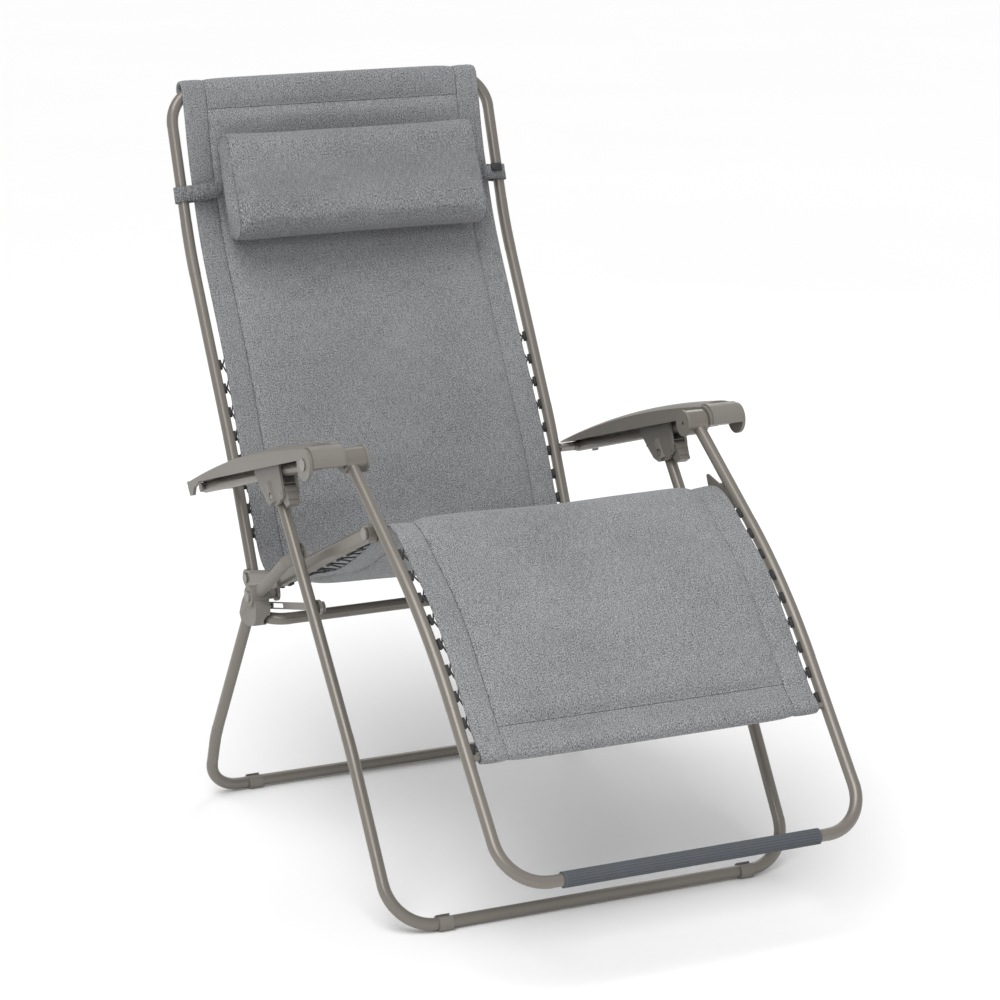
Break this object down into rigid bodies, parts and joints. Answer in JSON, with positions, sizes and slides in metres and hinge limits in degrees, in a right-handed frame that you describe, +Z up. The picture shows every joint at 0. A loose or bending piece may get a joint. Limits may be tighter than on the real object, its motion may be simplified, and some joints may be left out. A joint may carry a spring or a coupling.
{
  "type": "zero gravity recliner",
  "caption": "Folding zero gravity recliner: tubular steel frame, padded cloth sling on elastic lacing, head pillow, moulded armrests with slider brackets and lock levers.",
  "frame": {"origin": "centre of the footprint box on the floor, midway between the sides and between the foot bar and the top of the back", "axes": "+Z up, the sitter faces -Y, +X is the sitter's left, the two sides mirror each other in X"},
  "size_m": [0.7268, 1.2594, 1.116],
  "materials": {
    "frame_paint": "satin warm grey powder coat on steel tube",
    "moulded_plastic": "satin warm grey moulded plastic",
    "armrest_plastic": "satin warm grey moulded plastic, lightly worn edges",
    "fasteners": "coated steel pins and rivets",
    "sling_cloth": "heathered mid grey woven outdoor cloth",
    "elastic_cord": "black braided elastic and black clips",
    "blank_label": "black woven tab, blank",
    "foot_grip_plastic": "blue-grey ribbed sleeve"
  },
  "bodies": {
    "base": {"rear_leg_frame": "frame_paint", "rear_floor_clips": "moulded_plastic", "hub_l": "moulded_plastic", "hub_r": "moulded_plastic", "hub_crossbar": "frame_paint", "link_l": "frame_paint", "link_r": "frame_paint", "seat_pivot_pins": "fasteners", "link_pivot_pins": "fasteners", "stay_slot_pins": "fasteners"},
    "front_leg": {"front_leg_frame": "frame_paint", "front_floor_clips": "moulded_plastic", "stay_eye_pins": "fasteners"},
    "stay_l": {"stay_l": "frame_paint"},
    "stay_r": {"stay_r": "frame_paint"},
    "bracket_pin_l": {"bracket_pin_l": "fasteners"},
    "bracket_pin_r": {"bracket_pin_r": "fasteners"},
    "bracket_l": {"slider_bracket_l": "moulded_plastic", "lever_pin_l": "fasteners"},
    "bracket_r": {"slider_bracket_r": "moulded_plastic", "lever_pin_r": "fasteners"},
    "lever_l": {"lock_lever_l": "moulded_plastic"},
    "lever_r": {"lock_lever_r": "moulded_plastic"},
    "seat": {"seat_rail_l": "frame_paint", "seat_rail_r": "frame_paint", "seat_panel": "sling_cloth", "seat_lacing": "elastic_cord"},
    "back": {"back_frame": "frame_paint", "back_pivot_pins": "fasteners", "back_panel": "sling_cloth", "back_sleeve": "sling_cloth", "back_lacing": "elastic_cord", "back_tube_caps": "moulded_plastic", "arm_bolt_l": "fasteners", "arm_bolt_r": "fasteners"},
    "pillow": {"pillow": "sling_cloth", "pillow_straps": "sling_cloth", "blank_tab": "blank_label"},
    "arm_l": {"armrest_l": "armrest_plastic", "arm_rail_l": "frame_paint", "nose_axle_l": "fasteners"},
    "arm_r": {"armrest_r": "armrest_plastic", "arm_rail_r": "frame_paint", "nose_axle_r": "fasteners"},
    "leg_rest": {"leg_rest_frame": "frame_paint", "rest_barrels": "moulded_plastic", "barrel_discs": "moulded_plastic", "knee_plates": "frame_paint", "knee_pins": "fasteners", "hem_rod": "frame_paint", "foot_grip": "foot_grip_plastic", "leg_rest_panel": "sling_cloth", "leg_rest_sleeve": "sling_cloth", "leg_rest_lacing": "elastic_cord"}
  },
  "joints": [
    {"name": "recline", "type": "hinge", "parent": "seat", "child": "back", "pos_m": [0, 0.2879, 0.378], "axis": [1, 0, 0], "range_deg": [-16, 3]},
    {"name": "seat_tilt", "type": "hinge", "parent": "base", "child": "seat", "pos_m": [0, 0.1559, 0.387], "axis": [1, 0, 0], "range_deg": [-7.9, 1.5]},
    {"name": "leg_rest_lift", "type": "hinge", "parent": "seat", "child": "leg_rest", "pos_m": [0, -0.1791, 0.558], "axis": [1, 0, 0], "range_deg": [-23.4, 4.4]},
    {"name": "arm_swing_l", "type": "hinge", "parent": "back", "child": "arm_l", "pos_m": [-0.331, 0.3489, 0.516], "axis": [1, 0, 0], "range_deg": [-3.4, 17.9]},
    {"name": "arm_swing_r", "type": "hinge", "parent": "back", "child": "arm_r", "pos_m": [0.331, 0.3489, 0.516], "axis": [1, 0, 0], "range_deg": [-3.4, 17.9]},
    {"name": "fold", "type": "hinge", "parent": "base", "child": "front_leg", "pos_m": [0, 0.0009, 0.493], "axis": [1, 0, 0], "range_deg": [0, 30]},
    {"name": "stay_swing_l", "type": "hinge", "parent": "front_leg", "child": "stay_l", "pos_m": [-0.314, -0.0555, 0.42], "axis": [1, 0, 0], "range_deg": [-26.6, 0]},
    {"name": "stay_swing_r", "type": "hinge", "parent": "front_leg", "child": "stay_r", "pos_m": [0.314, -0.0555, 0.42], "axis": [1, 0, 0], "range_deg": [-26.6, 0]},
    {"name": "bracket_carry_l", "type": "hinge", "parent": "front_leg", "child": "bracket_pin_l", "pos_m": [-0.33, 0.0569, 0.566], "axis": [1, 0, 0], "range_deg": [-30, 0]},
    {"name": "bracket_carry_r", "type": "hinge", "parent": "front_leg", "child": "bracket_pin_r", "pos_m": [0.33, 0.0569, 0.566], "axis": [1, 0, 0], "range_deg": [-30, 0]},
    {"name": "bracket_tilt_l", "type": "hinge", "parent": "bracket_pin_l", "child": "bracket_l", "pos_m": [-0.33, 0.0569, 0.566], "axis": [1, 0, 0], "range_deg": [-6, 1.2]},
    {"name": "bracket_tilt_r", "type": "hinge", "parent": "bracket_pin_r", "child": "bracket_r", "pos_m": [0.33, 0.0569, 0.566], "axis": [1, 0, 0], "range_deg": [-6, 1.2]},
    {"name": "lock_lever_turn_l", "type": "hinge", "parent": "bracket_l", "child": "lever_l", "pos_m": [-0.33, 0.02362, 0.57689], "axis": [1, 0, 0], "range_deg": [-25, 0]},
    {"name": "lock_lever_turn_r", "type": "hinge", "parent": "bracket_r", "child": "lever_r", "pos_m": [0.33, 0.02362, 0.57689], "axis": [1, 0, 0], "range_deg": [-25, 0]},
    {"name": "pillow_slide", "type": "slide", "parent": "back", "child": "pillow", "axis": [0, 0.322, 0.9467], "range_m": [-0.03, 0.05]}
  ],
  "couplings": [
    {"joint": "seat_tilt", "follows": "recline", "ratio": 0.4881},
    {"joint": "leg_rest_lift", "follows": "recline", "ratio": 1.4569},
    {"joint": "arm_swing_l", "follows": "recline", "ratio": -1.1163},
    {"joint": "arm_swing_r", "follows": "recline", "ratio": -1.1163},
    {"joint": "bracket_tilt_l", "follows": "recline", "ratio": 0.3718},
    {"joint": "bracket_tilt_r", "follows": "recline", "ratio": 0.3718},
    {"joint": "stay_swing_l", "follows": "fold", "ratio": -0.885},
    {"joint": "stay_swing_r", "follows": "fold", "ratio": -0.885},
    {"joint": "bracket_carry_l", "follows": "fold", "ratio": -1},
    {"joint": "bracket_carry_r", "follows": "fold", "ratio": -1}
  ]
}
